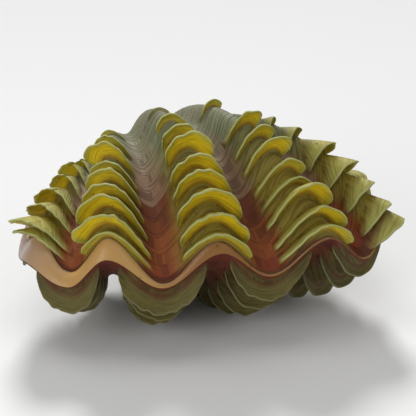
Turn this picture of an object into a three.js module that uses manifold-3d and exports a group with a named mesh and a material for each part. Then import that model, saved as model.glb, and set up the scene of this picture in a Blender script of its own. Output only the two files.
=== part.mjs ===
import * as THREE from "three";
import { mergeVertices } from "three/addons/utils/BufferGeometryUtils.js";
import Module from "manifold-3d";

// A fluted giant clam shell: two closed valves that meet along a wavy margin, and the hinge ligament.
// Lengths are in millimetres. The valves are worked out in a growth frame with its origin at the umbo,
// x along the hinge line, -y towards the free margin and z up from the plane where the valves meet.

// The free margin, from the left end of the hinge round the front to the right end: azimuth in degrees,
// reach from the umbo, wave, which is 1 on a rib of the upper valve and -1 on a rib of the lower one, and
// how far the whole margin lies off the middle plane.
const MARGIN = [
  { azimuth: -90, reach: 74, wave: 0, level: 0 },
  { azimuth: -76, reach: 90, wave: 0.2, level: -3 },
  { azimuth: -62, reach: 118, wave: -0.6, level: -6 },
  { azimuth: -48, reach: 141, wave: 0.3, level: -8 },
  { azimuth: -33, reach: 149, wave: -1, level: 0 },
  { azimuth: -21.5, reach: 146, wave: 1, level: 0 },
  { azimuth: -5.5, reach: 147, wave: -1, level: 0 },
  { azimuth: 11, reach: 153, wave: 1, level: 0 },
  { azimuth: 24, reach: 167, wave: -1, level: 0 },
  { azimuth: 36.5, reach: 188, wave: 1, level: 0 },
  { azimuth: 44.5, reach: 206, wave: -1, level: 0 },
  { azimuth: 51.5, reach: 213, wave: 1, level: 0 },
  { azimuth: 60, reach: 200, wave: -1, level: 0 },
  { azimuth: 69, reach: 181, wave: 0.7, level: 0 },
  { azimuth: 79, reach: 156, wave: -0.3, level: 0 },
  { azimuth: 90, reach: 132, wave: 0, level: 0 },
];
const LEVEL_FADE = 3;
const WAVE_HEIGHT = 11.9;

// The ribs stand out of the spiral by this much once they are full, and fade out towards the hinge line.
const RIB_RELIEF = 6.5;
const RIB_RISE = 5;
const RIB_FADE = 2.2;

// The wall swells beside the hinge line, so that it isn't a knife edge there.
const SHOULDER = { height: 9, rise: 8, narrowness: 12 };

// Each valve is a spiral from the margin to the umbo. It coils more tightly away from the azimuth at its
// centre, and its growth covers this many degrees.
const COIL = { least: 0.575, sideways: 0.34, centre: 20, spread: 60, most: 1.2 };
const FULL_GROWTH = 150;
const UMBO_SHARPNESS = 6;

// The porcelain lip that the lower valve pushes out beyond the upper one, in degrees of growth.
const LIP = 3.5;
const LIP_SHARES = [
  { azimuth: -90, share: 0 },
  { azimuth: -80, share: 0.2 },
  { azimuth: -70, share: 0.9 },
  { azimuth: -60, share: 1.7 },
  { azimuth: -48, share: 2.5 },
  { azimuth: -35, share: 1.2 },
  { azimuth: -21.5, share: 1.6 },
  { azimuth: -13, share: 1 },
  { azimuth: -5.5, share: 0.3 },
  { azimuth: 4, share: 0.7 },
  { azimuth: 11, share: 0.85 },
  { azimuth: 17, share: 0.5 },
  { azimuth: 24, share: 0.14 },
  { azimuth: 78, share: 0.14 },
  { azimuth: 90, share: 0 },
];

// The hollow: the rim is this thick, the hinge plate this wide, and the wall grows thicker towards the
// umbo because the hollow coils more tightly than the outside.
const RIM_THICKNESS = 10;
const HINGE_PLATE = 11;
const PLATE_REACH = 3;
const PLATE_NARROWNESS = 10;
const INNER_COIL = 0.12;
const INNER_RELIEF = 0.9;
const INNER_WAVE = 0.9;
const INNER_STAGES = [11, 26, 43, 62, 84, 110];
const RIM_GAP = 0.4;

// The scutes stand on the ribs like half cups that open towards the margin. Foot and tip are half
// thicknesses, and the foot thins out with the size that the shell had when the scute grew.
const FOOT = 3;
const FOOT_RADIAN = 150;
const LEAST_FOOT = 0.45;
const TIP = 1.1;
const HOOD = 9;
const HOOD_SHARE = 0.32;
const CUP = -0.06;
const UPRIGHT = 0.5;
const NARROWING = 0.03;
const SIDE_CURVE = { least: 2.2, most: 5.7, full: 0.97, narrow: 0.67 };
const SIDE_FULLNESS = 0.7;
const FLARE_CURVE = 1.5;
const LAST_FLARE = 7;
const FIRST_FOOT = 0.003;
const FIRST_TIP = 0.006;
// Each rib's scutes from the margin to the umbo: growth stages in degrees, heights, and tilts towards the
// margin. Lean is the sideways lean of the first and the last scute, curl tilts the flanks further
// forward, lobe makes one side higher than the other, flare spreads the left and the right side, and
// reach says how far down the left and the right flank the scutes go.
const UPPER_RIBS = [
  {
    stages: [5, 11, 17, 24, 33, 44, 57, 72, 90],
    heights: [4, 4, 4, 4, 4, 3, 3, 2, 1.5],
    tilts: [0.1, 0.1, 0.1, 0.1, 0.1, 0.1, 0.1, 0.1, 0.1],
    lean: [-0.5, -0.5],
    curl: 0.5,
    lobe: -0.5,
    flare: [0.3, 0],
    reach: [0.8, 0.9],
  },
  {
    stages: [9.3, 13, 19.5, 27, 37, 48, 58, 72, 88],
    heights: [8, 14, 11, 11, 9, 11, 8, 5, 3],
    tilts: [0.3, 0.3, 0.3, 0.3, 0.3, 0.3, 0.3, 0.3, 0.3],
    lean: [-0.9, -0.1],
    curl: 0.5,
    lobe: -0.9,
    flare: [2.4, 0],
    reach: [0.86, 0.9],
  },
  {
    stages: [6.2, 9.5, 14.6, 19, 24.2, 28.6, 35, 45, 60],
    heights: [5, 13, 14, 12, 12, 9, 16, 9, 4],
    tilts: [-0.1, -0.1, -0.1, -0.1, -0.1, -0.1, -0.1, -0.1, -0.1],
    lean: [-0.1, -0.2],
    curl: 0.3,
    lobe: -0.55,
    flare: [0.7, 0],
    reach: [0.8, 0.97],
  },
  {
    stages: [4, 8.2, 14, 20, 25, 32.5, 39.5, 50, 65],
    heights: [8, 14, 16, 14, 14, 16, 10, 6, 2],
    tilts: [-0.12, -0.12, -0.12, -0.12, -0.12, -0.12, -0.12, -0.12, -0.12],
    lean: [-0.05, -0.05],
    curl: 0.3,
    lobe: 0.3,
    flare: [0.1, 0.35],
    reach: [0.8, 0.84],
  },
  {
    stages: [2.6, 6.6, 12.4, 16.3, 21, 28, 34.3, 41, 62],
    heights: [10, 13, 15, 5, 9, 13, 11, 13, 6],
    tilts: [0, 0, 0, 0, 0, 0, 0, 0, 0],
    lean: [0.2, 0.3],
    curl: 0.3,
    lobe: 0.5,
    flare: [0, 0.6],
    reach: [0.97, 0.75],
  },
  {
    stages: [2.2, 7, 12.8, 19, 26.5, 34.5, 44, 57, 72],
    heights: [8, 12, 14, 15, 12, 9, 6, 5, 3],
    tilts: [2, 0.94, 0.78, 0.66, 0.45, 0.3, 0.2, 0.1, 0],
    lean: [0, 0],
    curl: 0.3,
    lobe: 0.2,
    flare: [0, 0.2],
    reach: [0.8, 0.75],
  },
  {
    stages: [4, 10, 17, 25, 34, 44, 56, 70, 88],
    heights: [9, 9, 8, 7, 6, 5, 4, 3, 2],
    tilts: [0.6, 0.6, 0.6, 0.6, 0.6, 0.6, 0.6, 0.6, 0.6],
    lean: [0.3, 0.3],
    curl: 0.3,
    lobe: 0.2,
    flare: [0, 0.2],
    reach: [0.8, 0.8],
  },
];

// The lower ribs share their stages. The deepest one's scutes are worn down by what the shell lies on,
// and the leftmost one's are low.
const LOWER_STAGES = [2.5, 8, 15, 23, 32, 42, 54, 70];
const LOWER_HEIGHTS = [17, 15, 14, 13, 12, 9, 8.5, 4];
const WORN_HEIGHTS = [17, 15, 13, 9, 6.5, 4, 3.5, 3];
const SIDE_HEIGHTS = [6, 7, 9, 10, 10, 9, 8.5, 4];
const LOWER_RIBS = [
  { lean: -0.1, heights: SIDE_HEIGHTS },
  { lean: -0.25, heights: LOWER_HEIGHTS },
  { lean: -0.12, heights: LOWER_HEIGHTS },
  { lean: 0.05, heights: WORN_HEIGHTS },
  { lean: 0.15, heights: LOWER_HEIGHTS },
  { lean: 0.25, heights: LOWER_HEIGHTS },
  { lean: 0.3, heights: LOWER_HEIGHTS },
].map(({ lean, heights }) => ({
  stages: LOWER_STAGES,
  heights,
  tilts: LOWER_STAGES.map(() => -0.12),
  lean: [lean, lean],
  curl: 0,
  lobe: 0,
  flare: [0, 0],
  reach: [0.86, 0.86],
}));

// A valve is the upper (side 1) or the lower (side -1), which is flatter. Its ribs start at a knot of
// the margin, and its outermost ribs end at the edges, in degrees of azimuth.
const UPPER = makeValve({ side: 1, flatter: 0, ribs: UPPER_RIBS, firstCrest: 1, edges: [-90, 90] });
const LOWER = makeValve({ side: -1, flatter: 0.12, ribs: LOWER_RIBS, firstCrest: 2, edges: [-76, 90] });

// The ligament, a strip behind the umbo on the long side of the hinge, tapers to a share of its section
// at both ends. The gape for the byssus is an ellipsoid cut from both valves on the short side.
const LIGAMENT = { start: 13, end: 88, y: -0.5, width: 5.6, height: 5.2, sides: 8, steps: 12 };
const LEAST_SECTION = 0.35;
const TAPER = 0.6;
const BED_GAP = 0.35;
const GAPE = { x: -39, y: -4, length: 22, depth: 13, height: 5.5, sides: 16, rings: 10 };

// Where the umbo stands in the part's own frame. The lowest scutes are worn flat where they would reach
// below the ground.
const UMBO = { x: -38.04, y: 70.64, z: 71.5 };
const GROUND = { size: 600, depth: 60 };

// The mesh: columns between two knots of the margin, and rows between the last scute and the umbo as
// shares of the way.
const COLUMNS_PER_WAVE = 3;
const UMBO_ROWS = [0.86, 0.66, 0.4, 0.18];
const TURN_STEP = 0.05;
const GROWTH_STEP = 0.001;
const WELD = 1e-4;

const { clamp, degToRad, lerp, smoothstep } = THREE.MathUtils;

// Index of the stretch between two knots that holds a value.
function stretchOf(knots, key, value) {
  let index = 0;
  while (index < knots.length - 2 && value >= knots[index + 1][key]) index += 1;
  return index;
}

// A smooth curve through the knots' values.
function smoothValue(knots, key, azimuth) {
  const slope = (i) => {
    const last = knots[Math.max(i - 1, 0)];
    const next = knots[Math.min(i + 1, knots.length - 1)];
    return (next[key] - last[key]) / (next.azimuth - last.azimuth);
  };
  const i = stretchOf(knots, "azimuth", azimuth);
  const run = knots[i + 1].azimuth - knots[i].azimuth;
  const t = (azimuth - knots[i].azimuth) / run;
  const before = (2 * t ** 3 - 3 * t ** 2 + 1) * knots[i][key];
  const after = (3 * t ** 2 - 2 * t ** 3) * knots[i + 1][key];
  const leaving = (t ** 3 - 2 * t ** 2 + t) * run * slope(i);
  const arriving = (t ** 3 - t ** 2) * run * slope(i + 1);
  return before + after + leaving + arriving;
}

// The margin's wave swings from knot to knot as half a cosine.
function waveAt(azimuth) {
  const i = stretchOf(MARGIN, "azimuth", azimuth);
  const t = (azimuth - MARGIN[i].azimuth) / (MARGIN[i + 1].azimuth - MARGIN[i].azimuth);
  return lerp(MARGIN[i].wave, MARGIN[i + 1].wave, (1 - Math.cos(Math.PI * t)) / 2);
}

// How far the ribs stand out at a place. They start flush at the margin.
function ribRelief(azimuth, stage) {
  const rise = 1 - Math.exp(-RIB_RISE * stage);
  return RIB_RELIEF * rise * Math.min(RIB_FADE * Math.cos(degToRad(azimuth)), 1);
}

function shoulderHeight(azimuth, stage) {
  const angle = degToRad(azimuth);
  const nearHinge = Math.sin(angle) ** SHOULDER.narrowness * Math.sqrt(Math.max(Math.cos(angle), 0));
  return SHOULDER.height * nearHinge * (1 - Math.exp(-SHOULDER.rise * stage));
}

function coilAt(azimuth, valve) {
  const sideways = ((azimuth - COIL.centre) / COIL.spread) ** 2;
  return COIL.least + valve.flatter + COIL.sideways * Math.min(sideways, COIL.most);
}

// How large the shell was at a stage of growth, as a share of its full size.
function shareLeft(coil, stage) {
  const grown = clamp(stage / degToRad(FULL_GROWTH), 0, 1);
  return Math.exp(-coil * stage) * (1 - grown ** UMBO_SHARPNESS);
}

// A point of a spiral: a point in the plane where the valves meet, turned inwards to its stage, shrunk
// by its share and pushed out by the ribs' relief. The swelling raises it straight off that plane.
function spiralPoint({ x, y, z, share, stage, coil, relief, swelling, side }) {
  const outward = stage + Math.atan(coil);
  const towardsMargin = y * Math.cos(stage) + z * Math.sin(stage) - relief * Math.cos(outward);
  const offPlane = z * Math.cos(stage) - y * Math.sin(stage) + relief * Math.sin(outward);
  return new THREE.Vector3(share * x, share * towardsMargin, side * share * (offPlane + swelling));
}

// A point of the valve's outside without its scutes. Stage is 0 at the margin, in radians, and the ribs
// are left out where waviness is 0.
function growthPoint(azimuth, stage, valve, waviness = 1) {
  const angle = degToRad(azimuth);
  const reach = smoothValue(MARGIN, "reach", azimuth);
  const coil = coilAt(azimuth, valve);
  const wave = waviness * waveAt(azimuth) * valve.side;
  const level = smoothValue(MARGIN, "level", azimuth) * Math.exp(-LEVEL_FADE * stage) * valve.side;
  return spiralPoint({
    x: reach * Math.sin(angle),
    y: -reach * Math.cos(angle),
    z: WAVE_HEIGHT * wave + level,
    share: shareLeft(coil, stage),
    stage,
    coil,
    relief: ribRelief(azimuth, stage) * wave,
    swelling: shoulderHeight(azimuth, stage),
    side: valve.side,
  });
}

// Directions at a point of the outside: out of the shell, towards the margin and along the growth line.
function directions(azimuth, stage, valve, waviness) {
  const point = (turn, growth) => growthPoint(azimuth + turn, stage + growth, valve, waviness);
  const along = point(TURN_STEP, 0).sub(point(-TURN_STEP, 0)).normalize();
  const back = point(0, GROWTH_STEP).sub(point(0, -GROWTH_STEP)).normalize();
  const outward = along.clone().cross(back).normalize().multiplyScalar(valve.side);
  return { outward, forward: back.negate(), along };
}

// Adds the azimuths of a valve's crests and of the valleys beside them.
function makeValve({ side, flatter, ribs, firstCrest, edges }) {
  const crests = ribs.map((_, i) => MARGIN[firstCrest + 2 * i].azimuth);
  const between = crests.slice(1).map((_, i) => MARGIN[firstCrest + 2 * i + 1].azimuth);
  return { side, flatter, ribs, crests, valleys: [edges[0], ...between, edges[1]] };
}

// Where an azimuth lies across its rib: 0 on the crest, 1 or -1 in the valleys beside it.
function acrossRib(azimuth, valve) {
  const { crests, valleys } = valve;
  let rib = 0;
  while (rib < crests.length - 1 && azimuth >= valleys[rib + 1]) rib += 1;
  const from = azimuth < crests[rib] ? valleys[rib] : valleys[rib + 1];
  return clamp((azimuth - crests[rib]) / Math.abs(from - crests[rib]), -1, 1);
}

// A value that each rib sets on its crest, carried smoothly over the valleys.
function ribValue(azimuth, valve, read) {
  const { crests } = valve;
  let rib = 0;
  while (rib < crests.length - 2 && azimuth >= crests[rib + 1]) rib += 1;
  const t = smoothstep(azimuth, crests[rib], crests[rib + 1]);
  return lerp(read(valve.ribs[rib]), read(valve.ribs[rib + 1]), t);
}

function lipStage(azimuth) {
  return degToRad(LIP * smoothValue(LIP_SHARES, "share", azimuth));
}

function firstStage(azimuth, valve) {
  return valve.side > 0 ? lipStage(azimuth) : 0;
}

// The stage of a scute's foot, which swings forward on the rib's flanks, and the size of a radian there.
function footOf(azimuth, scute, valve) {
  const stage = degToRad(ribValue(azimuth, valve, (rib) => rib.stages[scute]));
  const coil = coilAt(azimuth, valve);
  const share = Math.exp(-coil * stage);
  const radian = smoothValue(MARGIN, "reach", azimuth) * share * Math.sqrt(1 + coil ** 2);
  const across = acrossRib(azimuth, valve);
  const room = HOOD_SHARE * (stage - firstStage(azimuth, valve));
  const swing = Math.min(room, (HOOD * Math.sqrt(share)) / radian);
  return { stage: stage - swing * across ** 2, radian, across };
}

// How a scute stands where it crosses an azimuth: its height, its forward tilt and its sideways spread.
function scuteStand(azimuth, scute, valve, across) {
  const value = (read) => ribValue(azimuth, valve, read);
  const flank = across < 0 ? 0 : 1;
  const width = value((rib) => rib.reach[flank]) - NARROWING * scute;
  const place = Math.abs(across) / width;
  const { least, most, full, narrow } = SIDE_CURVE;
  const curve = lerp(least, most, clamp((full - width) / (full - narrow), 0, 1));
  const outline = clamp(1 - place ** curve, 0, 1) ** SIDE_FULLNESS;
  const lobe = 1 + value((rib) => rib.lobe) * across;
  const spread = value((rib) => rib.flare[flank]) * Math.min(place, 1) ** FLARE_CURVE;
  const fade = Math.max(1 - scute / LAST_FLARE, 0);
  return {
    height: outline * lobe * value((rib) => rib.heights[scute]),
    tilt: value((rib) => rib.tilts[scute]) + value((rib) => rib.curl) * across ** 2 + CUP,
    spread: (across < 0 ? -spread : spread) * fade,
  };
}

// One row of a scute: the foot or the tip, on its front (-1) or its back (1).
function scutePoint(azimuth, scute, face, atTip, valve) {
  const { stage, radian, across } = footOf(azimuth, scute, valve);
  const half = atTip ? TIP : FOOT * clamp(radian / FOOT_RADIAN, LEAST_FOOT, 1);
  const least = firstStage(azimuth, valve) + (atTip ? FIRST_TIP : FIRST_FOOT);
  const point = growthPoint(azimuth, Math.max(stage + (face * half) / radian, least), valve);
  if (!atTip) return point;
  const { height, tilt, spread } = scuteStand(azimuth, scute, valve, across);
  const { outward, forward, along } = directions(azimuth, stage, valve, 1 - UPRIGHT);
  const age = scute / valve.ribs[0].stages.length;
  const lean = ribValue(azimuth, valve, (rib) => lerp(rib.lean[0], rib.lean[1], age));
  point.addScaledVector(outward, height * Math.cos(lean));
  point.addScaledVector(along, height * (Math.sin(lean) + spread));
  return point.addScaledVector(forward, height * tilt);
}

function columnAzimuths() {
  const azimuths = [];
  for (let i = 0; i < MARGIN.length - 1; i += 1) {
    for (let c = 0; c < COLUMNS_PER_WAVE; c += 1) {
      azimuths.push(lerp(MARGIN[i].azimuth, MARGIN[i + 1].azimuth, c / COLUMNS_PER_WAVE));
    }
  }
  azimuths.push(MARGIN[MARGIN.length - 1].azimuth);
  return azimuths;
}

// The edge where the valves meet, and the inner edge of the rim behind it.
function meetingEdge(azimuth) {
  return growthPoint(azimuth, lipStage(azimuth), UPPER);
}

function innerEdge(azimuth) {
  const edge = meetingEdge(azimuth);
  return { reach: Math.hypot(edge.x, edge.y) - RIM_THICKNESS, height: edge.z * INNER_WAVE };
}

// The hollow of a valve, from the inner edge of its rim to the hollow under the umbo. It keeps the width
// of the hinge plate away from the hinge line.
function hollowPoint(azimuth, stage, valve) {
  const { reach, height } = innerEdge(azimuth);
  const angle = degToRad(azimuth);
  const coil = coilAt(azimuth, valve) + INNER_COIL;
  const share = shareLeft(coil, stage);
  const point = spiralPoint({
    x: reach * Math.sin(angle),
    y: -reach * Math.cos(angle),
    z: valve.side * height,
    share,
    stage,
    coil,
    relief: INNER_RELIEF * ribRelief(azimuth, stage) * waveAt(azimuth) * valve.side,
    swelling: 0,
    side: valve.side,
  });
  const nearUmbo = (1 - share) ** PLATE_REACH;
  const nearHinge = Math.sin(angle) ** PLATE_NARROWNESS;
  point.y -= HINGE_PLATE * (1 - (1 - nearUmbo) * (1 - nearHinge));
  return point;
}

// All rows of a valve from the umbo over the outside, round the rim and back through the hollow.
function valveRows(valve) {
  const azimuths = columnAzimuths();
  const lift = (valve.side * RIM_GAP) / 2;
  const row = (place) => azimuths.map((azimuth) => place(azimuth));
  const raised = (point) => point.setZ(point.z + lift);
  const count = valve.ribs[0].stages.length;
  const rows = [];
  for (const part of UMBO_ROWS) {
    rows.push(
      row((azimuth) => {
        const last = footOf(azimuth, count - 1, valve).stage;
        return raised(growthPoint(azimuth, lerp(last, degToRad(FULL_GROWTH), part), valve));
      }),
    );
  }
  for (let scute = count - 1; scute >= 0; scute -= 1) {
    rows.push(row((azimuth) => raised(scutePoint(azimuth, scute, 1, false, valve))));
    rows.push(row((azimuth) => raised(scutePoint(azimuth, scute, 1, true, valve))));
    rows.push(row((azimuth) => raised(scutePoint(azimuth, scute, -1, true, valve))));
    rows.push(row((azimuth) => raised(scutePoint(azimuth, scute, -1, false, valve))));
  }
  if (valve.side < 0) rows.push(row((azimuth) => raised(growthPoint(azimuth, 0, valve))));
  rows.push(row((azimuth) => raised(meetingEdge(azimuth))));
  const rimRow = rows.length - 1;
  rows.push(row((azimuth) => raised(hollowPoint(azimuth, 0, valve))));
  for (const stage of INNER_STAGES) {
    rows.push(row((azimuth) => raised(hollowPoint(azimuth, degToRad(stage), valve))));
  }
  return { rows, rimRow };
}

// Closes the rows into one surface: fans at the two poles and a flat strip along the hinge.
function valveGeometry(valve) {
  const { rows, rimRow } = valveRows(valve);
  const columns = rows[0].length;
  const lift = (valve.side * RIM_GAP) / 2;
  const points = rows.flat();
  const umbo = points.push(new THREE.Vector3(0, 0, lift)) - 1;
  const hollowEnd = points.push(new THREE.Vector3(0, -HINGE_PLATE, lift)) - 1;
  const at = (r, c) => r * columns + c;
  const faces = [];
  for (let c = 0; c < columns - 1; c += 1) {
    faces.push([umbo, at(0, c), at(0, c + 1)]);
    faces.push([hollowEnd, at(rows.length - 1, c + 1), at(rows.length - 1, c)]);
    for (let r = 0; r < rows.length - 1; r += 1) {
      faces.push([at(r, c), at(r + 1, c), at(r + 1, c + 1)]);
      faces.push([at(r, c), at(r + 1, c + 1), at(r, c + 1)]);
    }
  }
  for (const c of [0, columns - 1]) {
    const outer = [umbo];
    const inner = [hollowEnd];
    for (let r = 0; r <= rimRow; r += 1) outer.push(at(r, c));
    for (let r = rows.length - 1; r > rimRow; r -= 1) inner.push(at(r, c));
    for (const face of strip(points, outer, inner)) {
      faces.push(c === 0 ? face : face.reverse());
    }
  }
  return surface(points, faces, valve.side > 0);
}

// Triangles between two rows of points that both run outwards along x.
function strip(points, first, second) {
  const faces = [];
  let i = 0;
  let j = 0;
  while (i < first.length - 1 || j < second.length - 1) {
    const nextFirst = i < first.length - 1 ? Math.abs(points[first[i + 1]].x) : Infinity;
    const nextSecond = j < second.length - 1 ? Math.abs(points[second[j + 1]].x) : Infinity;
    if (nextFirst <= nextSecond) {
      faces.push([first[i], second[j], first[i + 1]]);
      i += 1;
    } else {
      faces.push([first[i], second[j], second[j + 1]]);
      j += 1;
    }
  }
  return faces;
}

function surface(points, faces, facesOut) {
  const geometry = new THREE.BufferGeometry();
  const positions = points.flatMap((point) => point.toArray());
  geometry.setAttribute("position", new THREE.Float32BufferAttribute(positions, 3));
  geometry.setIndex(faces.flatMap((face) => (facesOut ? face : face.toReversed())));
  return geometry;
}

// The ligament thins out at both ends. Grown by a gap, it is also the bed cut for it in the valves.
function ligamentGeometry(grow) {
  const { start, end, y, width, height, sides, steps } = LIGAMENT;
  const points = [];
  const faces = [];
  for (let i = 0; i <= steps; i += 1) {
    const t = i / steps;
    const size = lerp(LEAST_SECTION, 1, Math.sin(Math.PI * t) ** TAPER);
    for (let k = 0; k < sides; k += 1) {
      const turn = (2 * Math.PI * k) / sides;
      const x = lerp(start - grow, end + grow, t);
      points.push(
        new THREE.Vector3(
          x,
          y + (width * size + grow) * Math.cos(turn),
          (height * size + grow) * Math.sin(turn),
        ),
      );
    }
  }
  for (let i = 0; i < steps; i += 1) {
    for (let k = 0; k < sides; k += 1) {
      const next = (k + 1) % sides;
      faces.push([i * sides + k, i * sides + next, (i + 1) * sides + next]);
      faces.push([i * sides + k, (i + 1) * sides + next, (i + 1) * sides + k]);
    }
  }
  for (let k = 1; k < sides - 1; k += 1) {
    faces.push([0, k + 1, k]);
    faces.push([steps * sides, steps * sides + k, steps * sides + k + 1]);
  }
  return surface(points, faces, true);
}

const wasm = await Module();
wasm.setup();

function solid(geometry) {
  const bare = geometry.clone();
  bare.deleteAttribute("normal");
  bare.deleteAttribute("uv");
  const merged = mergeVertices(bare, WELD);
  const corners = Array.from(merged.index.array);
  const triVerts = [];
  for (let i = 0; i < corners.length; i += 3) {
    const face = corners.slice(i, i + 3);
    if (new Set(face).size === 3) triVerts.push(...face);
  }
  return new wasm.Manifold(
    new wasm.Mesh({
      numProp: 3,
      vertProperties: new Float32Array(merged.attributes.position.array),
      triVerts: new Uint32Array(triVerts),
    }),
  );
}

function geometryOf(made) {
  const mesh = made.getMesh();
  const geometry = new THREE.BufferGeometry();
  const positions = new Float32Array(mesh.vertProperties);
  geometry.setAttribute("position", new THREE.BufferAttribute(positions, 3));
  geometry.setIndex(new THREE.BufferAttribute(new Uint32Array(mesh.triVerts), 1));
  return geometry;
}

// Each valve loses the ligament's bed, the gape beside the umbo, and what would reach below the ground.
function cutValve(valve) {
  const gape = new THREE.SphereGeometry(1, GAPE.sides, GAPE.rings);
  gape.scale(GAPE.length, GAPE.depth, GAPE.height).translate(GAPE.x, GAPE.y, 0);
  const ground = new THREE.BoxGeometry(GROUND.size, GROUND.size, GROUND.depth);
  ground.translate(0, 0, -UMBO.z - GROUND.depth / 2);
  return geometryOf(
    solid(valveGeometry(valve))
      .subtract(solid(ligamentGeometry(BED_GAP)))
      .subtract(solid(gape))
      .subtract(solid(ground)),
  );
}

const shell = new THREE.Group();
const placed = new THREE.Group();
placed.position.set(UMBO.x, UMBO.y, UMBO.z);
shell.add(placed);

function addPiece(name, geometry, color, roughness) {
  const material = new THREE.MeshStandardMaterial({ color, roughness, metalness: 0 });
  const mesh = new THREE.Mesh(geometry, material);
  mesh.name = name;
  placed.add(mesh);
}

addPiece("upper_valve", cutValve(UPPER), 0xb8a23c, 0.6);
addPiece("lower_valve", cutValve(LOWER), 0x8f8a45, 0.6);
addPiece("hinge_ligament", ligamentGeometry(0), 0x3b2616, 0.75);

export default shell;
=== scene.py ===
import math

import bmesh
import bpy
import numpy as np
from mathutils import Matrix, Vector


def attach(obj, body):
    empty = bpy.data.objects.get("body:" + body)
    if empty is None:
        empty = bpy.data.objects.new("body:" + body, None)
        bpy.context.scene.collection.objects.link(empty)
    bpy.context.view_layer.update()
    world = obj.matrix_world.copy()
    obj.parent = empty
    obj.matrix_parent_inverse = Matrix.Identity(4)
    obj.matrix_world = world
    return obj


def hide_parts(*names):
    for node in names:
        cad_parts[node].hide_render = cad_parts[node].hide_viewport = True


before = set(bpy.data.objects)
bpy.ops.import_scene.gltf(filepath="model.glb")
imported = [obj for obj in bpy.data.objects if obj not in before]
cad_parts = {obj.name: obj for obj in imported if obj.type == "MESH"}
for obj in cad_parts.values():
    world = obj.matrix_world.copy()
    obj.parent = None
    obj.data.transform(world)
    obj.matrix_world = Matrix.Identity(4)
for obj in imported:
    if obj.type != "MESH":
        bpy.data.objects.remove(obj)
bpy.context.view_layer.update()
print("frame loaded")

# Lengths in the growth model are millimetres, in a frame with its origin at the umbo, x along the hinge
# line, -y towards the free margin and z up from the plane where the valves meet.
umbo = (-38.04, 70.64, 71.5)

# the free margin from the left end of the hinge round to the right: azimuth, reach, wave (1 on upper ribs)
# and how far the whole margin lies off the middle plane
margin = np.array(
    [
        (-90, 74, 0, 0),
        (-76, 90, 0.2, -3),
        (-62, 118, -0.6, -6),
        (-48, 141, 0.3, -8),
        (-33, 149, -1, 0),
        (-21.5, 146, 1, 0),
        (-5.5, 147, -1, 0),
        (11, 153, 1, 0),
        (24, 167, -1, 0),
        (36.5, 188, 1, 0),
        (44.5, 206, -1, 0),
        (51.5, 213, 1, 0),
        (60, 200, -1, 0),
        (69, 181, 0.7, 0),
        (79, 156, -0.3, 0),
        (90, 132, 0, 0),
    ],
    float,
)

growth = {
    "waveHeight": 11.9,
    "ribRelief": 6.5,
    "ribRise": 5,
    "ribFade": 2.2,
    "shoulder": 9,
    "shoulderRise": 8,
    "shoulderNarrowness": 12,
    "levelFade": 3,
    "coil": 0.575,
    "sideCoil": 0.34,  # how much tighter the coil gets away from the azimuth at its centre
    "coilCentre": 20,
    "coilSpread": 60,
    "mostSideways": 1.2,
    "fullGrowth": 150,  # degrees from the margin to the umbo
    "umboSharpness": 6,
    "rim": 10,
    "hingePlate": 11,
    "plateReach": 3,
    "plateNarrowness": 10,
    "innerCoil": 0.12,
    "innerWave": 0.9,  # shares of the outside's wave and ribs that the hollow follows
    "innerRelief": 0.9,
    "gap": 0.4,  # between the valves
    "lip": 3.5,  # degrees that the porcelain lip runs out beyond the upper valve
    "lipBulge": 1.6,
    "bulgeWay": (0, -0.3, 1),
    "bulgeFade": 0.08,  # a lip narrower than this, in radians of growth, bulges less
    "turnStep": 0.05,  # degrees of azimuth and radians of growth over which directions are measured
    "growthStep": 0.001,
}

lipShares = np.array(
    [
        (-90, 0),
        (-80, 0.2),
        (-70, 0.9),
        (-60, 1.7),
        (-48, 2.5),
        (-35, 1.2),
        (-21.5, 1.6),
        (-13, 1.0),
        (-5.5, 0.3),
        (4, 0.7),
        (11, 0.85),
        (17, 0.5),
        (24, 0.14),
        (78, 0.14),
        (90, 0),
    ],
    float,
)

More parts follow.
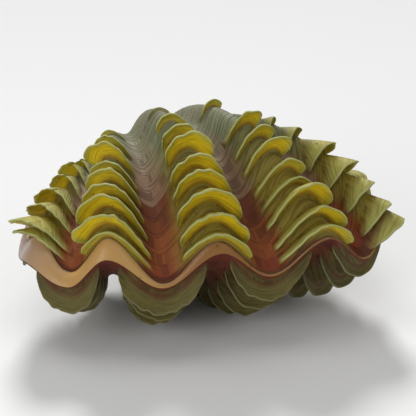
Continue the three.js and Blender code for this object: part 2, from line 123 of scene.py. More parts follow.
# Each rib's scutes from the margin to the umbo: growth stages in degrees, heights, and tilts towards the
# margin. Lean is the sideways lean of the first and the last scute, curl tilts the flanks further
# forward, lobe makes one side higher than the other, flare spreads the left and the right side, and
# reach says how far down the left and the right flank the scutes go. A side with a high square ends in a
# full lobe, and one with a low square runs out in a slope.
upperRibs = [
    {
        "stages": [5, 11, 17, 24, 33, 44, 57, 72, 90],
        "heights": [4, 4, 4, 4, 4, 3, 3, 2, 1.5],
        "tilts": [0.1] * 9,
        "lean": (-0.5, -0.5),
        "curl": 0.5,
        "lobe": -0.5,
        "flare": (0.3, 0),
        "reach": (0.8, 0.9),
        "square": (3.5, 2.5),
    },
    {
        "stages": [9.3, 13, 19.5, 27, 37, 48, 58, 72, 88],
        "heights": [11, 17, 13, 13, 11, 13, 9, 6, 3],
        "tilts": [0.9, 0.8, 0.8, 0.8, 0.7, 0.6, 0.5, 0.4, 0.3],
        "lean": (-0.3, -0.1),
        "curl": 0.5,
        "lobe": -0.9,
        "flare": (2.2, 0),
        "reach": (0.8, 0.9),
        "square": (4.2, 3.0),
    },
    {
        "stages": [6.2, 9.5, 14.6, 19, 24.2, 28.6, 35, 45, 60],
        "heights": [5, 13, 14, 12, 12, 9, 16, 9, 4],
        "tilts": [-0.1] * 9,
        "lean": (-0.1, -0.2),
        "curl": 0.3,
        "lobe": -0.55,
        "flare": (0.7, 0),
        "reach": (0.56, 0.97),
        "square": (5.7, 2.2),
    },
    {
        "stages": [4, 8.2, 14, 20, 25, 32.5, 39.5, 50, 65],
        "heights": [8, 14, 16, 14, 14, 16, 10, 6, 2],
        "tilts": [-0.12] * 9,
        "lean": (-0.05, -0.05),
        "curl": 0.3,
        "lobe": 0.3,
        "flare": (0.1, 0.35),
        "reach": (0.64, 0.7),
        "square": (5.0, 5.2),
    },
    {
        "stages": [2.6, 6.6, 12.4, 16.3, 21, 28, 34.3, 41, 62],
        "heights": [10, 13, 15, 5, 9, 13, 11, 13, 6],
        "tilts": [0.0] * 9,
        "lean": (0.2, 0.3),
        "curl": 0.3,
        "lobe": 0.5,
        "flare": (0, 0.6),
        "reach": (0.97, 0.5),
        "square": (2.2, 5.7),
    },
    {
        "stages": [1.9, 6, 13, 21.8, 30, 39, 48, 58, 72],
        "heights": [7, 8, 9, 12.5, 12, 7, 6, 5, 3],
        "tilts": [2.3, 1.7, 1.7, 1.8, 1.8, 1.6, 1.2, 0.8, 0.5],
        "lean": (0, 0),
        "curl": 0.3,
        "lobe": 0.2,
        "flare": (0, 0.2),
        "reach": (0.8, 0.75),
        "square": (1.3, 1.6),
    },
    {
        "stages": [4, 10, 17, 25, 34, 44, 56, 70, 88],
        "heights": [9, 9, 8, 7, 6, 5, 4, 3, 2],
        "tilts": [1.1] * 9,
        "lean": (0.3, 0.3),
        "curl": 0.3,
        "lobe": 0.2,
        "flare": (0, 0.2),
        "reach": (0.8, 0.8),
        "square": (1.4, 1.6),
    },
]
lowerHeights = [16, 14, 14, 13, 12, 9, 8.5, 4]
wornHeights = [13, 13, 12, 9, 6.5, 4, 3.5, 3]  # on the rib that the shell lies on
farHeights = [9, 10, 11, 11, 11, 9, 8.5, 4]
sideHeights = [6, 7, 9, 10, 10, 9, 8.5, 4]
lowerRibs = [
    {
        "stages": [2.5, 8, 15, 23, 32, 42, 54, 70],
        "heights": heights,
        "tilts": [-0.18] * 8,
        "lean": (lean, lean),
        "curl": 0.2,
        "lobe": 0,
        "flare": (0.15, 0.15),
        "reach": (0.78, 0.78),
        "square": (3.4, 3.4),
    }
    for lean, heights in (
        (-0.1, sideHeights),
        (-0.25, lowerHeights),
        (-0.12, lowerHeights),
        (0.05, wornHeights),
        (0.15, farHeights),
        (0.25, farHeights),
        (0.3, farHeights),
    )
]

scutes = {
    "foot": 2.5,  # half thicknesses: at the foot's front and back, and at the tip
    "back": 5.5,
    "tip": 0.9,
    "hood": 9.0,  # how far the foot swings forward on the rib's flanks
    "hoodShare": 0.32,
    "fullRadian": 150,  # millimetres in a radian of growth from which a foot has its full size
    "leastFoot": 0.45,
    "frontTaper": 1.6,
    "backTaper": 2.6,
    "leastStage": 0.003,
    "hollow": 0.2,  # depth of the cup, as a share of the height
    "cupTurn": 0.9,  # the part of a half wave that the cup goes through from foot to tip
    "upright": 0.5,
    "narrowing": 0.03,
    "fullness": 0.7,
    "flareCurve": 1.5,
    "flareRise": 1.3,
    "lastFlare": 7,
    "scallop": 0.1,
    "waver": 0.1,
    "seedStep": 40,
    "seeds": {1: 7, -1: 900},  # for the upper and the lower valve
    "waverSeed": 9,
}


# A smooth curve through knots, with the slope at each knot from its neighbours.
def smoothCurve(x, knots, values):
    before, after = np.r_[knots[0], knots[:-1]], np.r_[knots[1:], knots[-1]]
    lowValues, highValues = np.r_[values[0], values[:-1]], np.r_[values[1:], values[-1]]
    slopes = (highValues - lowValues) / (after - before)
    i = np.clip(np.searchsorted(knots, x, "right") - 1, 0, len(knots) - 2)
    run = knots[i + 1] - knots[i]
    t = (x - knots[i]) / run
    return (
        (2 * t**3 - 3 * t**2 + 1) * values[i]
        + (3 * t**2 - 2 * t**3) * values[i + 1]
        + (t**3 - 2 * t**2 + t) * run * slopes[i]
        + (t**3 - t**2) * run * slopes[i + 1]
    )


def waveAt(azimuth):
    knots, waves = margin[:, 0], margin[:, 2]
    i = np.clip(np.searchsorted(knots, azimuth, "right") - 1, 0, len(knots) - 2)
    t = np.clip((azimuth - knots[i]) / (knots[i + 1] - knots[i]), 0, 1)
    return waves[i] + (waves[i + 1] - waves[i]) * (1 - np.cos(np.pi * t)) / 2


def reachAt(azimuth):
    return smoothCurve(azimuth, margin[:, 0], margin[:, 1])


def coilAt(azimuth, valve):
    turned = (azimuth - growth["coilCentre"]) / growth["coilSpread"]
    sideways = np.minimum(turned**2, growth["mostSideways"])
    return growth["coil"] + valve["flatter"] + growth["sideCoil"] * sideways


def shareLeft(coil, stage):
    grown = np.clip(stage / math.radians(growth["fullGrowth"]), 0, 1)
    return np.exp(-coil * stage) * (1 - grown ** growth["umboSharpness"])


def ribRelief(azimuth, stage):
    rise = 1 - np.exp(-growth["ribRise"] * stage)
    return growth["ribRelief"] * rise * np.minimum(growth["ribFade"] * np.cos(np.radians(azimuth)), 1)


def spiralPoint(x, y, z, share, stage, coil, relief, swelling, side):
    outward = stage + np.arctan(coil)
    towardsMargin = y * np.cos(stage) + z * np.sin(stage) - relief * np.cos(outward)
    offPlane = z * np.cos(stage) - y * np.sin(stage) + relief * np.sin(outward)
    return np.stack([share * x, share * towardsMargin, side * share * (offPlane + swelling)], -1)


# a point of the outside without its scutes; stage is 0 at the margin, in radians
def outsidePoint(azimuth, stage, valve, waviness=1.0):
    angle = np.radians(azimuth)
    reach = reachAt(azimuth)
    coil = coilAt(azimuth, valve)
    wave = waviness * waveAt(azimuth) * valve["side"]
    levelLeft = np.exp(-growth["levelFade"] * stage)
    level = smoothCurve(azimuth, margin[:, 0], margin[:, 3]) * levelLeft * valve["side"]
    nearHinge = np.abs(np.sin(angle)) ** growth["shoulderNarrowness"]
    nearHinge = nearHinge * np.sqrt(np.maximum(np.cos(angle), 0))
    return spiralPoint(
        reach * np.sin(angle),
        -reach * np.cos(angle),
        growth["waveHeight"] * wave + level,
        shareLeft(coil, stage),
        stage,
        coil,
        ribRelief(azimuth, stage) * wave,
        growth["shoulder"] * nearHinge * (1 - np.exp(-growth["shoulderRise"] * stage)),
        valve["side"],
    )


def unit(vectors):
    return vectors / np.maximum(np.linalg.norm(vectors, axis=-1, keepdims=True), 1e-9)


def directionsAt(azimuth, stage, valve, waviness):
    def step(sideways, onwards):
        before = outsidePoint(azimuth - sideways, stage - onwards, valve, waviness)
        return unit(outsidePoint(azimuth + sideways, stage + onwards, valve, waviness) - before)

    along, back = step(growth["turnStep"], 0), step(0, growth["growthStep"])
    outward = unit(np.cross(along, back)) * valve["side"]
    return outward, -back, along


def makeValve(side, flatter, ribs, firstCrest, edges):
    crests = margin[firstCrest : firstCrest + 2 * len(ribs) : 2, 0]
    between = margin[firstCrest + 1 : firstCrest + 2 * len(ribs) - 2 : 2, 0]
    valleys = np.r_[edges[0], between, edges[1]]
    return {"side": side, "flatter": flatter, "ribs": ribs, "crests": crests, "valleys": valleys}


# the rib that each azimuth belongs to, and where it lies across it: 0 on the crest, 1 or -1 in the valleys
def acrossRib(azimuth, valve):
    crests, valleys = valve["crests"], valve["valleys"]
    rib = np.clip(np.searchsorted(valleys, azimuth, "right") - 1, 0, len(crests) - 1)
    crest, low, high = crests[rib], valleys[rib], valleys[rib + 1]
    across = (azimuth - crest) / np.where(azimuth < crest, crest - low, high - crest)
    return rib, np.clip(across, -1, 1)


def ribValue(azimuth, valve, values):
    crests = valve["crests"]
    values = np.asarray(values, float)
    i = np.clip(np.searchsorted(crests, azimuth, "right") - 1, 0, len(crests) - 2)
    t = np.clip((azimuth - crests[i]) / (crests[i + 1] - crests[i]), 0, 1)
    t = t * t * (3 - 2 * t)
    return values[i] * (1 - t) + values[i + 1] * t


def lipStage(azimuth):
    return np.radians(growth["lip"] * smoothCurve(azimuth, lipShares[:, 0], lipShares[:, 1]))


def firstStage(azimuth, valve):
    return lipStage(azimuth) if valve["side"] > 0 else np.zeros_like(azimuth)


def footOf(azimuth, scute, valve):
    stage = np.radians(ribValue(azimuth, valve, [rib["stages"][scute] for rib in valve["ribs"]]))
    coil = coilAt(azimuth, valve)
    share = np.exp(-coil * stage)
    radian = reachAt(azimuth) * share * np.sqrt(1 + coil**2)
    across = acrossRib(azimuth, valve)[1]
    room = stage - firstStage(azimuth, valve)
    swing = np.minimum(scutes["hoodShare"] * room, scutes["hood"] * np.sqrt(share) / radian)
    return stage - swing * across**2, radian, across


# a smooth random curve over the azimuth, the same in each run
def ripple(azimuth, seed):
    starts = np.random.default_rng(seed).uniform(0, 6.3, 4)
    waves = ((0.35, 0.4), (0.8, 0.3), (1.7, 0.25), (2.6, 0.25))
    return sum(np.sin(azimuth * rate + start) * size for start, (rate, size) in zip(starts, waves))


# how large a scute's foot is: smaller towards the umbo, from the lengths of a radian of growth there
def footSize(radian):
    return np.clip(radian / scutes["fullRadian"], scutes["leastFoot"], 1)


# one row over a scute: face is -1 on its front and 1 on its back, and rise goes from 0 at the foot to 1 at
# the tip
def scuteRow(azimuth, scute, face, rise, valve):
    stage, radian, across = footOf(azimuth, scute, valve)
    ribs = valve["ribs"]
    size = footSize(radian)
    foot = (scutes["foot"] if face < 0 else scutes["back"]) * size
    taper = scutes["frontTaper"] if face < 0 else scutes["backTaper"]
    half = scutes["tip"] + (foot - scutes["tip"]) * (1 - rise) ** taper
    least = firstStage(azimuth, valve) + scutes["leastStage"] * (1 + rise)
    points = outsidePoint(azimuth, np.maximum(stage + face * half / radian, least), valve)
    left, right = across < 0, across >= 0

    def value(name, i=None):
        return ribValue(azimuth, valve, [rib[name] if i is None else rib[name][i] for rib in ribs])

    width = np.where(left, value("reach", 0), value("reach", 1)) - scutes["narrowing"] * scute
    place = np.abs(across) / width
    square = np.where(left, value("square", 0), value("square", 1))
    outline = np.clip(1 - place**square, 0, 1) ** scutes["fullness"]
    seed = scutes["seedStep"] * scute + scutes["seeds"][valve["side"]]
    height = outline * value("heights", scute)
    height = height * (1 + value("lobe") * across) * (1 + scutes["scallop"] * ripple(azimuth, seed))
    outward, forward, along = directionsAt(azimuth, stage, valve, 1 - scutes["upright"])
    age = scute / len(ribs[0]["stages"])
    lean = (value("lean", 0) + (value("lean", 1) - value("lean", 0)) * age)[:, None]
    points = points + (outward * np.cos(lean) + along * np.sin(lean)) * (height * rise)[:, None]
    cup = (value("tilts", scute) + value("curl") * across**2) * rise
    cup = cup - scutes["hollow"] * np.sin(np.pi * scutes["cupTurn"] * rise)
    cup = cup + scutes["waver"] * ripple(azimuth, seed + scutes["waverSeed"]) * rise**2
    points = points + forward * (height * cup)[:, None]
    flare = np.where(left, -value("flare", 0), value("flare", 1))
    flare = flare * np.clip(place, 0, 1) ** scutes["flareCurve"]
    flare = flare * rise ** scutes["flareRise"] * max(1 - scute / scutes["lastFlare"], 0)
    points = points + along * (flare * height)[:, None]
    return points, height


def hollowRow(azimuth, stage, valve):
    edge = outsidePoint(azimuth, lipStage(azimuth), upperValve)
    angle = np.radians(azimuth)
    reach = np.hypot(edge[:, 0], edge[:, 1]) - growth["rim"]
    coil = coilAt(azimuth, valve) + growth["innerCoil"]
    share = shareLeft(coil, stage)
    points = spiralPoint(
        reach * np.sin(angle),
        -reach * np.cos(angle),
        valve["side"] * edge[:, 2] * growth["innerWave"],
        share,
        stage,
        coil,
        growth["innerRelief"] * ribRelief(azimuth, stage) * waveAt(azimuth) * valve["side"],
        0,
        valve["side"],
    )
    reached = (1 - share) ** growth["plateReach"]
    nearHinge = np.abs(np.sin(angle)) ** growth["plateNarrowness"]
    points[:, 1] -= growth["hingePlate"] * (1 - (1 - reached) * (1 - nearHinge))
    return points


upperValve = makeValve(1, 0, upperRibs, 1, (-90, 90))
lowerValve = makeValve(-1, 0.12, lowerRibs, 2, (-76, 90))

valveMesh = {
    "columnsPerWave": 28,
    "scuteSteps": [0, 0.1, 0.25, 0.42, 0.6, 0.78, 0.92, 1],
    "bodyRows": 4,
    "umboRows": 14,
    "umboParts": (0.97, 0.05),  # how far up to the umbo these rows begin and end
    "leastBody": 0.002,  # radians of growth that the body rows keep from the margin
    "lipParts": (0.04, 0.2, 0.4, 0.6, 0.8, 0.95),
    "rimParts": (0.03, 0.35, 0.7),
    "hollowStages": (0, 2, 5, 9, 14, 20, 28, 37, 48, 60, 74, 90, 105, 122, 138),
    "weld": 1e-6,
}
places = {"edge": 0.05, "lip": 0.5, "hollow": 1}  # the values of inside that the materials read


# All rows of a valve from the umbo over the outside, round the rim and back through the hollow. Each row
# has its points and what the materials read: rise up a scute, its height, face, stage and inside.
def valveRows(valve, azimuth):
    rows = []
    count = len(valve["ribs"][0]["stages"])

    def addRow(points, stage, rise=0.0, height=0.0, face=0.0, inside=0.0):
        full = np.ones_like(azimuth)
        rows.append((points, np.stack([full * fact for fact in (rise, height, face, stage, inside)], -1)))

    steps = valveMesh["scuteSteps"]
    lastFoot = footOf(azimuth, count - 1, valve)[0]
    for part in np.linspace(*valveMesh["umboParts"], valveMesh["umboRows"]):
        stage = lastFoot + (math.radians(growth["fullGrowth"]) - lastFoot) * part
        addRow(outsidePoint(azimuth, stage, valve), stage)
    for scute in range(count - 1, -1, -1):
        stage, radian, _ = footOf(azimuth, scute, valve)
        front = scutes["foot"] * footSize(radian) / radian
        for face, order in ((1, steps), (-1, steps[::-1])):
            for rise in order:
                points, height = scuteRow(azimuth, scute, face, rise, valve)
                addRow(points, stage, rise, height, face)
        if scute > 0:
            nextStage, nextRadian, _ = footOf(azimuth, scute - 1, valve)
            back = scutes["back"] * footSize(nextRadian) / nextRadian
            least = firstStage(azimuth, valve) + valveMesh["leastBody"]
            for part in np.linspace(0, 1, valveMesh["bodyRows"] + 2)[1:-1]:
                between = (stage - front) + ((nextStage + back) - (stage - front)) * part
                addRow(outsidePoint(azimuth, np.maximum(between, least), valve), between)
    meeting = outsidePoint(azimuth, lipStage(azimuth), upperValve)
    if valve["side"] < 0:
        outer = outsidePoint(azimuth, np.zeros_like(azimuth), valve)
        addRow(outer, 0)
        for part in valveMesh["lipParts"]:
            fullness = np.minimum(lipStage(azimuth) / growth["bulgeFade"], 1)
            bulge = growth["lipBulge"] * math.sin(math.pi * part) * fullness
            swollen = outer + (meeting - outer) * part + bulge[:, None] * np.array(growth["bulgeWay"])
            addRow(swollen, 0, inside=places["lip"])
    addRow(meeting, 0, inside=places["lip"] if valve["side"] < 0 else places["edge"])
    inner = hollowRow(azimuth, 0, valve)
    for part in valveMesh["rimParts"]:
        addRow(meeting + (inner - meeting) * part, 0, inside=places["hollow"])
    for degrees in valveMesh["hollowStages"]:
        stage = math.radians(degrees)
        addRow(hollowRow(azimuth, stage, valve), stage, inside=places["hollow"])
    return rows


# A valve starts as a flat grid, whose rows and columns are then carried to their places in the growth.
def growValve(name, valve):
    perWave = valveMesh["columnsPerWave"]
    waves = zip(margin[:-1, 0], margin[1:, 0])
    azimuth = np.concatenate([np.linspace(a, b, perWave, endpoint=False) for a, b in waves] + [[90.0]])
    rows = valveRows(valve, azimuth)
    lift = np.array([0, 0, valve["side"] * growth["gap"] / 2])
    columns = len(azimuth)
    bm = bmesh.new()
    bmesh.ops.create_grid(bm, x_segments=columns - 1, y_segments=len(rows) - 1, size=1)
    bm.verts.ensure_lookup_table()
    names = ("rise", "height", "face", "stage", "inside", "azimuth", "across", "wave")
    layers = [bm.verts.layers.float.new(layer) for layer in names]
    across = acrossRib(azimuth, valve)[1]
    wave = waveAt(azimuth) * valve["side"]
    for vert in bm.verts:
        column = round((vert.co.x + 1) / 2 * (columns - 1))
        row = round((vert.co.y + 1) / 2 * (len(rows) - 1))
        points, facts = rows[row]
        vert.co = Vector((points[column] + lift + umbo) / 1000)
        vert.co.z = max(vert.co.z, 0.0)  # the lowest scutes are worn flat
        for layer, value in zip(layers, (*facts[column], azimuth[column], across[column], wave[column])):
            vert[layer] = value
    closeValve(bm)
    mesh = bpy.data.meshes.new(name)
    bm.to_mesh(mesh)
    bm.free()
    for polygon in mesh.polygons:
        polygon.use_smooth = True
    piece = bpy.data.objects.new(name, mesh)
    bpy.context.scene.collection.objects.link(piece)
    print(name, "grown:", len(mesh.polygons), "faces")
    return piece


# Closes the two ends of the grid at the umbo and in the hollow, and the flat plate along the hinge line.
def closeValve(bm):
    boundary = [edge for edge in bm.edges if edge.is_boundary]
    bmesh.ops.holes_fill(bm, edges=boundary, sides=0)
    bmesh.ops.remove_doubles(bm, verts=bm.verts, dist=valveMesh["weld"])
    bmesh.ops.recalc_face_normals(bm, faces=bm.faces)


# What a material tree is built with: a node with its values, a mix of two colours, and a soft step.
def addNode(tree, kind, values=None, **settings):
    node = tree.nodes.new("ShaderNode" + kind)
    for name, value in settings.items():
        setattr(node, name, value)
    for name, value in (values or {}).items():
        if isinstance(value, bpy.types.NodeSocket):
            tree.links.new(value, node.inputs[name])
        else:
            node.inputs[name].default_value = value
    return node


def attribute(tree, name):
    return addNode(tree, "Attribute", attribute_name=name).outputs["Fac"]


def mixColor(tree, factor, first, second, blend="MIX"):
    given = {0: factor, 6: first, 7: second}
    return addNode(tree, "Mix", given, data_type="RGBA", blend_type=blend).outputs[2]


def softStep(tree, value, low, high):
    limits = {"Value": value, "From Min": low, "From Max": high}
    return addNode(tree, "MapRange", limits, interpolation_type="SMOOTHSTEP").outputs["Result"]


def calculate(tree, operation, first, second=0.0):
    return addNode(tree, "Math", {0: first, 1: second}, operation=operation).outputs[0]


def newGroup(name, inputs, outputs):
    group = bpy.data.node_groups.new(name, "ShaderNodeTree")
    for socket, kind in inputs:
        group.interface.new_socket(name=socket, in_out="INPUT", socket_type="NodeSocket" + kind)
    for socket, kind in outputs:
        group.interface.new_socket(name=socket, in_out="OUTPUT", socket_type="NodeSocket" + kind)
    return group, group.nodes.new("NodeGroupInput").outputs, group.nodes.new("NodeGroupOutput").inputs


def placeGroup(tree, group, values):
    node = addNode(tree, "Group", node_tree=group)
    for name, value in values.items():
        if isinstance(value, bpy.types.NodeSocket):
            tree.links.new(value, node.inputs[name])
        else:
            node.inputs[name].default_value = (*value, 1) if isinstance(value, tuple) else value
    return node.outputs


marking = {"lineBend": 0.05, "climbPerRadian": 200.0, "roughness": 0.6}


# Marks that follow the growth: fine lines across the ribs, bands up the scutes, faint riblets along the
# ribs, and slow changes. A larger across or along makes a pattern finer in that direction.
def makeGrowthMarks():
    group, given, result = newGroup(
        "growthMarks",
        [("Line Density", "Float"), ("Riblet Density", "Float")],
        [("Lines", "Float"), ("Bands", "Float"), ("Riblets", "Float"), ("Patches", "Float")],
    )
    azimuth, stage, wave = (attribute(group, name) for name in ("azimuth", "stage", "wave"))
    grown = calculate(group, "SUBTRACT", stage, calculate(group, "MULTIPLY", wave, marking["lineBend"]))
    climb = calculate(group, "MULTIPLY", attribute(group, "rise"), attribute(group, "height"))
    grownLength = calculate(group, "MULTIPLY", stage, marking["climbPerRadian"])
    climb = calculate(group, "ADD", climb, grownLength)

    def pattern(across, along, place, detail, distortion):
        x, y = calculate(group, "MULTIPLY", azimuth, across), calculate(group, "MULTIPLY", place, along)
        at = addNode(group, "CombineXYZ", {"X": x, "Y": y}).outputs[0]
        values = {"Vector": at, "Scale": 1.0, "Detail": detail, "Distortion": distortion}
        values["Roughness"] = marking["roughness"]
        return addNode(group, "TexNoise", values, noise_dimensions="2D").outputs["Fac"]

    lines = pattern(across=0.06, along=given["Line Density"], place=grown, detail=3, distortion=0.2)
    bands = pattern(across=0.14, along=0.8, place=climb, detail=3, distortion=0.2)
    riblets = pattern(across=given["Riblet Density"], along=1.5, place=stage, detail=2, distortion=0.1)
    patches = pattern(across=0.09, along=3.5, place=stage, detail=2, distortion=0.4)
    for name, mark in (("Lines", lines), ("Bands", bands), ("Riblets", riblets), ("Patches", patches)):
        group.links.new(mark, result[name])
    return group


# where one colour goes over into the next
borders = {
    "margin": (0.0, 0.05),  # these seven in radians of growth
    "edge": (0.01, 0.14),
    "step": (0.18, 0.4),
    "old": (0.39, 0.43),
    "oldest": (0.5, 0.9),
    "oldRib": (0.3, 0.9),
    "umbo": (0.65, 1.2),
    "crest": (-0.8, 0.05),  # from valley to crest
    "full": (6.0, 15.0),  # these two in millimetres of a scute's height
    "tall": (0.6, 4.5),
    # deep sets how far up a scute's front the painted shade of its cup reaches
    "deep": (0.05, 0.45),  # these five from a scute's foot, 0, to its tip, 1
    "tip": (0.6, 1.0),
    "back": (0.1, 0.8),
    "rim": (0.95, 1.0),
    "foot": (0.0, 0.22),
    "face": (-0.6, 0.6),  # from front to back
}
unevenness = {"wave": 0.5, "age": 0.3, "rise": 0.5, "height": 8.0}
tipStrength = 0.75
darkening = {
    "Lines": {"limits": (0.47, 0.6), "strength": 0.75, "tint": (0.5, 0.4, 0.36, 1)},
    "Riblets": {"limits": (0.5, 0.75), "strength": 0.18, "tint": (0.62, 0.52, 0.45, 1)},
    "Bands": {"limits": (0.48, 0.62), "strength": 0.6, "tint": (0.62, 0.55, 0.45, 1)},
}


# The shell's colours by place: valleys, rib bodies, the scutes' fronts, backs and rims, and the umbo.
# The fronts carry painted shade near their feet and, on tall scutes of the upper valve, painted glow.
def makeShellSkin():
    colors = ["Margin", "Valley Edge", "Valley", "Valley Step", "Old Valley", "Oldest Valley"]
    colors += ["Rib", "Old Rib", "Umbo"]
    colors += ["Front Painted Shade", "Front Low", "Front", "Front Tip", "Back", "Back Full", "Rim"]
    marks = ["Lines", "Bands", "Riblets", "Patches"]
    group, given, result = newGroup(
        "shellSkin",
        [(name, "Color") for name in colors] + [(name, "Float") for name in marks],
        [("Color", "Color"), ("Scute", "Float")],
    )
    rise, height, face = (attribute(group, name) for name in ("rise", "height", "face"))
    stage, wave = attribute(group, "stage"), attribute(group, "wave")
    middled = calculate(group, "SUBTRACT", given["Patches"], 0.5)
    uneven = calculate(group, "MULTIPLY", middled, unevenness["wave"])

    def unevenly(value, amount):
        return calculate(group, "ADD", value, calculate(group, "MULTIPLY", uneven, amount))

    def border(name, value):
        return softStep(group, value, *borders[name])

    def darken(mark, color):
        look = darkening[mark]
        limited = softStep(group, given[mark], *look["limits"])
        amount = calculate(group, "MULTIPLY", limited, look["strength"])
        return mixColor(group, amount, color, look["tint"], "MULTIPLY")

    age = unevenly(stage, unevenness["age"])
    valley = mixColor(group, border("edge", age), given["Valley Edge"], given["Valley"])
    valley = mixColor(group, border("step", age), valley, given["Valley Step"])
    valley = mixColor(group, border("old", age), valley, given["Old Valley"])
    valley = mixColor(group, border("oldest", age), valley, given["Oldest Valley"])
    rib = mixColor(group, border("oldRib", age), given["Rib"], given["Old Rib"])
    body = mixColor(group, border("crest", calculate(group, "ADD", wave, uneven)), valley, rib)
    body = mixColor(group, border("umbo", age), body, given["Umbo"])
    body = mixColor(group, border("margin", age), given["Margin"], body)
    body = darken("Riblets", darken("Lines", body))
    shade = unevenly(rise, unevenness["rise"])
    full = border("full", unevenly(height, unevenness["height"]))
    # tall scutes take the Front colour, which on the upper valve is their own yellow brightened with
    # painted glow of light shining through the thin, free-standing scutes
    front = mixColor(group, full, given["Front Low"], given["Front"])
    # painted shade in the hollow of each scute's cup, darker near its foot
    front = mixColor(group, border("deep", shade), given["Front Painted Shade"], front)
    tip = calculate(group, "MULTIPLY", border("tip", shade), tipStrength)
    front = mixColor(group, tip, front, given["Front Tip"])
    back = mixColor(group, full, given["Back"], given["Back Full"])
    back = mixColor(group, border("back", rise), body, back)
    scute = darken("Bands", mixColor(group, border("face", face), front, back))
    scute = mixColor(group, border("rim", rise), scute, given["Rim"])
    there = calculate(group, "MULTIPLY", border("tall", height), border("foot", rise))
    group.links.new(mixColor(group, there, body, scute), result["Color"])
    group.links.new(there, result["Scute"])
    return group


growthMarks = makeGrowthMarks()
shellSkin = makeShellSkin()

upperFinish = {
    "Margin": (0.14, 0.05, 0.012),
    "Valley Edge": (0.16, 0.022, 0.006),
    "Valley": (0.25, 0.065, 0.01),
    "Valley Step": (0.15, 0.035, 0.01),
    "Old Valley": (0.25, 0.145, 0.08),
    "Oldest Valley": (0.26, 0.22, 0.13),
    "Rib": (0.24, 0.185, 0.018),
    "Old Rib": (0.17, 0.2, 0.1),
    "Umbo": (0.2, 0.2, 0.11),
    # painted shade in the scutes' cups, by their feet
    "Front Painted Shade": (0.36, 0.19, 0.008),
    "Front Low": (0.42, 0.36, 0.03),
    # the scutes' own yellow plus painted glow of light shining through the tall, thin scutes
    "Front": (0.82, 0.6, 0.008),
    "Front Tip": (0.5, 0.49, 0.1),
    "Back": (0.36, 0.34, 0.08),
    "Back Full": (0.42, 0.36, 0.05),
    "Rim": (0.42, 0.43, 0.15),
}
# the upper valve's colours made several times darker: painted shade over the lower valve, which lies under
# the upper one and faces away from the lights
lowerShadedFinish = {
    "Margin": (0.12, 0.018, 0.005),
    "Valley Edge": (0.14, 0.02, 0.005),
    "Valley": (0.15, 0.035, 0.008),
    "Valley Step": (0.1, 0.04, 0.012),
    "Old Valley": (0.1, 0.06, 0.03),
    "Oldest Valley": (0.12, 0.09, 0.05),
    "Rib": (0.11, 0.085, 0.018),
    "Old Rib": (0.13, 0.13, 0.05),
    "Umbo": (0.16, 0.165, 0.075),
    "Front Painted Shade": (0.1, 0.025, 0.005),
    "Front Low": (0.1, 0.08, 0.018),
    "Front": (0.15, 0.125, 0.032),
    "Front Tip": (0.17, 0.15, 0.045),
    "Back": (0.12, 0.12, 0.04),
    "Back Full": (0.16, 0.14, 0.04),
    "Rim": (0.2, 0.19, 0.08),
}
porcelain = {
    "lip": (0.52, 0.3, 0.1),
    "lipEnd": (0.4, 0.28, 0.22),
    "lipDeep": (0.3, 0.14, 0.04),
    "hinge": (0.16, 0.11, 0.06),
    "inside": (0.8, 0.74, 0.62),
    "edge": (0.12, 0.02, 0.006),
}


surface = {
    "specular": 0.3,
    "densities": {"Line Density": 55.0, "Riblet Density": 1.6},
    "speckScale": 90.0,
    "speckSize": (0.085, 0.05),
    "speckColor": (0.12, 0.05, 0.02, 1),
    "polish": {"From Min": 0.1, "From Max": 0.45, "To Min": 0.58, "To Max": 0.24},
    "ribletDepth": 0.25,
    "bump": {"Strength": 0.6, "Distance": 0.0014},
}
lipBorders = {
    "end": (-30.0, -60.0),  # these four in degrees of azimuth
    "deep": (-12.0, 2.0),
    "leftHinge": (-80.0, -86.0),
    "rightHinge": (62.0, 80.0),
    "hollow": (0.6, 0.95),  # these by inside, round the rim
    "lip": (0.1, 0.45),
    "edgeStart": (0.02, 0.12),
    "edgeEnd": (0.4, 0.2),
    "lines": (0.3, 0.05),
}


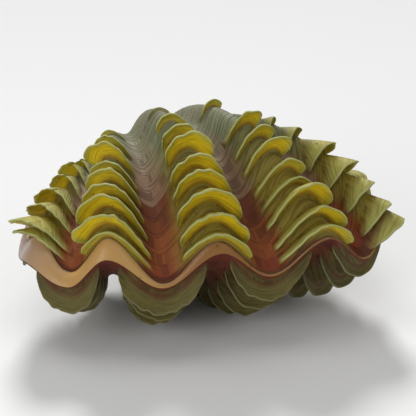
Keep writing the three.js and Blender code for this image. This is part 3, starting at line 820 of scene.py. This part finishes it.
def shellMaterial(name, finish):
    made = bpy.data.materials.new(name)
    made.use_nodes = True
    tree = made.node_tree
    principled = tree.nodes["Principled BSDF"]
    principled.inputs["Specular IOR Level"].default_value = surface["specular"]
    marks = placeGroup(tree, growthMarks, surface["densities"])
    readings = {mark: marks[mark] for mark in ("Lines", "Bands", "Riblets", "Patches")}
    skin = placeGroup(tree, shellSkin, {**finish, **readings})
    inside, azimuth = attribute(tree, "inside"), attribute(tree, "azimuth")
    nacre = {name: (*color, 1) for name, color in porcelain.items()}

    def border(name, value):
        return softStep(tree, value, *lipBorders[name])

    lip = mixColor(tree, border("end", azimuth), nacre["lip"], nacre["lipEnd"])
    lip = mixColor(tree, border("deep", azimuth), lip, nacre["lipDeep"])
    lip = mixColor(tree, border("leftHinge", azimuth), lip, nacre["hinge"])
    lip = mixColor(tree, border("rightHinge", azimuth), lip, nacre["hinge"])
    lip = mixColor(tree, border("hollow", inside), lip, nacre["inside"])
    color = mixColor(tree, border("lip", inside), skin["Color"], lip)
    edge = calculate(tree, "MULTIPLY", border("edgeStart", inside), border("edgeEnd", inside))
    color = mixColor(tree, edge, color, nacre["edge"])
    speck = {"Vector": addNode(tree, "TexCoord").outputs["Object"], "Scale": surface["speckScale"]}
    distance = addNode(tree, "TexVoronoi", speck).outputs["Distance"]
    color = mixColor(tree, softStep(tree, distance, *surface["speckSize"]), color, surface["speckColor"])
    tree.links.new(color, principled.inputs["Base Color"])
    polish = addNode(tree, "MapRange", {"Value": inside, **surface["polish"]}).outputs["Result"]
    tree.links.new(polish, principled.inputs["Roughness"])
    lines = calculate(tree, "MULTIPLY", marks["Lines"], border("lines", inside))
    bands = calculate(tree, "MULTIPLY", marks["Bands"], skin["Scute"])
    riblets = calculate(tree, "MULTIPLY", marks["Riblets"], surface["ribletDepth"])
    relief = calculate(tree, "ADD", calculate(tree, "ADD", lines, riblets), bands)
    bump = addNode(tree, "Bump", {"Height": relief, **surface["bump"]})
    tree.links.new(bump.outputs["Normal"], principled.inputs["Normal"])
    return made


def plainMaterial(name, color, roughness):
    made = bpy.data.materials.new(name)
    made.use_nodes = True
    principled = made.node_tree.nodes["Principled BSDF"]
    principled.inputs["Base Color"].default_value = (*color, 1)
    principled.inputs["Roughness"].default_value = roughness
    return made


horn = {"color": (0.05, 0.026, 0.014), "pale": (0.17, 0.1, 0.05), "roughness": 0.55, "ridges": 260.0}


# The dried ligament: dark horn with fine ridges along the hinge line.
def hornMaterial():
    made = plainMaterial("ligament", horn["color"], horn["roughness"])
    tree = made.node_tree
    principled = tree.nodes["Principled BSDF"]
    place = addNode(tree, "TexCoord").outputs["Object"]
    stretched = addNode(tree, "Mapping", {"Vector": place, "Scale": (0.12, 1, 1)})
    noise = {"Vector": stretched.outputs[0], "Scale": horn["ridges"], "Detail": 4.0, "Distortion": 0.4}
    ridges = addNode(tree, "TexNoise", noise).outputs["Fac"]
    color = mixColor(tree, softStep(tree, ridges, 0.52, 0.72), (*horn["color"], 1), (*horn["pale"], 1))
    tree.links.new(color, principled.inputs["Base Color"])
    bump = addNode(tree, "Bump", {"Height": ridges, "Strength": 0.7, "Distance": 0.001})
    tree.links.new(bump.outputs["Normal"], principled.inputs["Normal"])
    return made


ligamentHorn = hornMaterial()
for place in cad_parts["hinge_ligament"].material_slots:
    place.material = ligamentHorn

upperPiece = growValve("upperShell", upperValve)
lowerPiece = growValve("lowerShell", lowerValve)
upperPiece.data.materials.append(shellMaterial("upperShell", upperFinish))
lowerPiece.data.materials.append(shellMaterial("lowerShell", lowerShadedFinish))
stands = ((upperPiece, "upper_valve", "upper_shell"), (lowerPiece, "lower_valve", "lower_shell"))
for piece, node, slot in stands:
    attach(piece, "root")
    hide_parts(node)
print("valves in place")

# The photograph's view. The target is a point in the growth model's frame.
viewpoint = {
    "turn": 16,
    "elevation": 27,
    "roll": -0.45,
    "distance": 1.3,
    "target": (34.9, -95, 21.6),
    "millimetresPerPixel": 0.754,
    "pixels": 416,
    "sensor": 36,
    "farthest": 30,
}


def makeCamera():
    turn, elevation, roll = (math.radians(viewpoint[n]) for n in ("turn", "elevation", "roll"))
    flat = math.cos(elevation)
    back = Vector((-math.sin(turn) * flat, -math.cos(turn) * flat, math.sin(elevation)))
    level = Vector((math.cos(turn), -math.sin(turn), 0))
    upright = back.cross(level)
    right = level * math.cos(roll) + upright * math.sin(roll)
    up = upright * math.cos(roll) - level * math.sin(roll)
    data = bpy.data.cameras.new("camera")
    data.sensor_width = viewpoint["sensor"]
    lens = viewpoint["sensor"] * viewpoint["distance"] * 1000 / viewpoint["millimetresPerPixel"]
    data.lens = lens / viewpoint["pixels"]
    data.clip_end = viewpoint["farthest"]
    camera = bpy.data.objects.new("camera", data)
    bpy.context.scene.collection.objects.link(camera)
    place = Matrix((right, up, back)).transposed().to_4x4()
    place.translation = (Vector(viewpoint["target"]) + Vector(umbo)) / 1000 + back * viewpoint["distance"]
    camera.matrix_world = place
    bpy.context.scene.camera = camera


makeCamera()
print("camera set")

studio = {
    "floorSize": 8,
    "floorColor": (0.86, 0.86, 0.86),
    "floorRoughness": 0.9,
    "worldColor": (0.9, 0.9, 0.9),
    "worldStrength": 0.33,
}


def makeStudio():
    bm = bmesh.new()
    bmesh.ops.create_grid(bm, x_segments=1, y_segments=1, size=studio["floorSize"] / 2)
    mesh = bpy.data.meshes.new("floor")
    bm.to_mesh(mesh)
    bm.free()
    floor = bpy.data.objects.new("floor", mesh)
    bpy.context.scene.collection.objects.link(floor)
    mesh.materials.append(plainMaterial("paleFloor", studio["floorColor"], studio["floorRoughness"]))
    world = bpy.data.worlds.new("studio")
    world.use_nodes = True
    background = world.node_tree.nodes["Background"]
    background.inputs["Color"].default_value = (*studio["worldColor"], 1)
    background.inputs["Strength"].default_value = studio["worldStrength"]
    bpy.context.scene.world = world
    bpy.context.scene.view_settings.view_transform = "Standard"


def addLight(name, kind, place, aim, power, **settings):
    data = bpy.data.lights.new(name, kind)
    data.energy = power
    for setting, value in settings.items():
        setattr(data, setting, value)
    light = bpy.data.objects.new(name, data)
    light.location = place
    light.rotation_euler = (Vector(aim) - Vector(place)).to_track_quat("-Z", "Y").to_euler()
    bpy.context.scene.collection.objects.link(light)


makeStudio()
addLight("mainLight", "SUN", (0.2, 0.95, 0.85), (0, 0, 0), 2.3, angle=0.25)
addLight("topLight", "AREA", (-0.2, 0.1, 1.4), (0, 0, 0.05), 3.4, size=0.8)
addLight("fillLight", "AREA", (-1.4, -1.0, 0.9), (0, 0, 0.05), 9, size=1.0)
addLight("sideLight", "AREA", (1.0, -1.2, 1.1), (0, 0, 0.05), 3, size=1.0)
print("studio lit")
